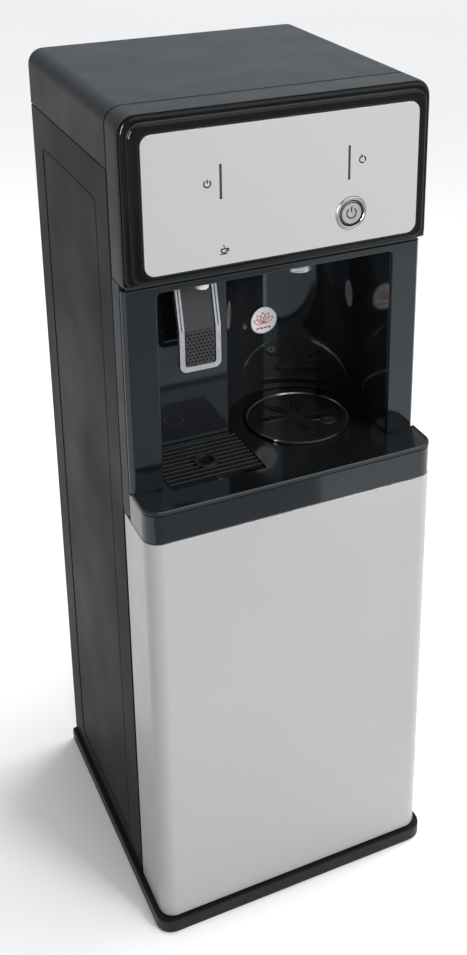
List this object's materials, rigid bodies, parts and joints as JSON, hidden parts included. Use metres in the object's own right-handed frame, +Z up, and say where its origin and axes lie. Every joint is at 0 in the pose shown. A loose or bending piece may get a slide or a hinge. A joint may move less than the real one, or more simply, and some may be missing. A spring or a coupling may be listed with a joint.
{
  "type": "water dispenser",
  "caption": "Floor-standing water and tea dispenser: bottle cabinet with hinged door, shelf with drip grid and kettle plate, cup lever, and a control head with a push button.",
  "frame": {"origin": "on the floor, under the middle of the plinth", "axes": "+Z up, the front faces -Y, +X to the right of someone facing the front"},
  "size_m": [0.362, 0.368, 1.003],
  "materials": {
    "matte_black": "fine-grained satin black moulding",
    "painted_steel": "black powder-coated sheet steel",
    "gloss_black": "polished piano black",
    "silver_front": "light silver paint, satin",
    "chrome": "bright plated",
    "steel": "plain steel",
    "black_plastic": "plain black moulding",
    "rubber": "soft black rubber",
    "smoke": "dark smoked plastic",
    "white_plastic": "white moulding",
    "label": "printed film",
    "board": "green circuit board"
  },
  "bodies": {
    "cabinet": {"base_plinth": "matte_black", "top_cover": "matte_black", "head_frame": "matte_black", "side_strip_left": "matte_black", "side_strip_right": "matte_black", "side_panel_left": "painted_steel", "side_panel_right": "painted_steel", "rear_panel": "painted_steel", "control_bezel": "gloss_black", "niche_frame": "gloss_black", "niche_liner": "gloss_black", "niche_ceiling": "gloss_black", "shelf_tray": "gloss_black", "kettle_plate": "gloss_black", "control_panel": "silver_front", "button_ring": "chrome", "kettle_ring": "chrome", "kettle_spout": "chrome", "cabinet_floor": "steel", "cabinet_deck": "steel", "front_post_left": "steel", "front_post_right": "steel", "lever_pin": "steel", "lever_bracket": "steel", "lever_spring": "steel", "hinge_pin_lower": "steel", "hinge_pin_upper": "steel", "hot_tank": "steel", "kettle_contact": "steel", "panel_carrier": "black_plastic", "power_switch": "black_plastic", "magnet_catch": "black_plastic", "power_inlet": "black_plastic", "lever_switch": "black_plastic", "water_pump": "black_plastic", "tank_stand": "black_plastic", "foot_front_left": "rubber", "foot_front_right": "rubber", "foot_rear_left": "rubber", "foot_rear_right": "rubber", "window_left": "smoke", "window_right": "smoke", "tap_nozzle": "white_plastic", "tap_valve": "white_plastic", "drain_plug": "white_plastic", "pump_pipe": "white_plastic", "tap_pipe": "white_plastic", "round_label": "label", "control_board": "board", "power_board": "board"},
    "lever": {"lever_trim": "chrome", "lever_paddle": "smoke", "lever_pad": "rubber"},
    "power_button": {"power_button": "silver_front"},
    "door": {"door_panel": "silver_front", "door_liner": "black_plastic", "door_strike": "steel"},
    "drip_tray": {"drip_grid": "black_plastic", "drip_pan": "black_plastic"},
    "rear_rocker": {"rear_rocker": "black_plastic"}
  },
  "joints": [
    {"name": "lever_hinge", "type": "hinge", "parent": "cabinet", "child": "lever", "pos_m": [-0.0727, -0.058, 0.824], "axis": [1, 0, 0], "range_deg": [0, 9], "stiffness_Nm_per_rad": 0.08, "springref_deg": -17.19},
    {"name": "power_button_press", "type": "slide", "parent": "cabinet", "child": "power_button", "axis": [0, 1, 0], "range_m": [0, 0.0015], "stiffness_N_per_m": 400, "springref_m": -0.001},
    {"name": "door_hinge", "type": "hinge", "parent": "cabinet", "child": "door", "pos_m": [0.166, -0.108, 0.282], "axis": [0, 0, 1], "range_deg": [0, 95]},
    {"name": "drip_tray_lift", "type": "slide", "parent": "cabinet", "child": "drip_tray", "axis": [0, 0, 1], "range_m": [0, 0.06]},
    {"name": "rear_rocker_tilt", "type": "hinge", "parent": "cabinet", "child": "rear_rocker", "pos_m": [0.081, 0.178, 0.07], "axis": [1, 0, 0], "range_deg": [-7, 7]}
  ]
}
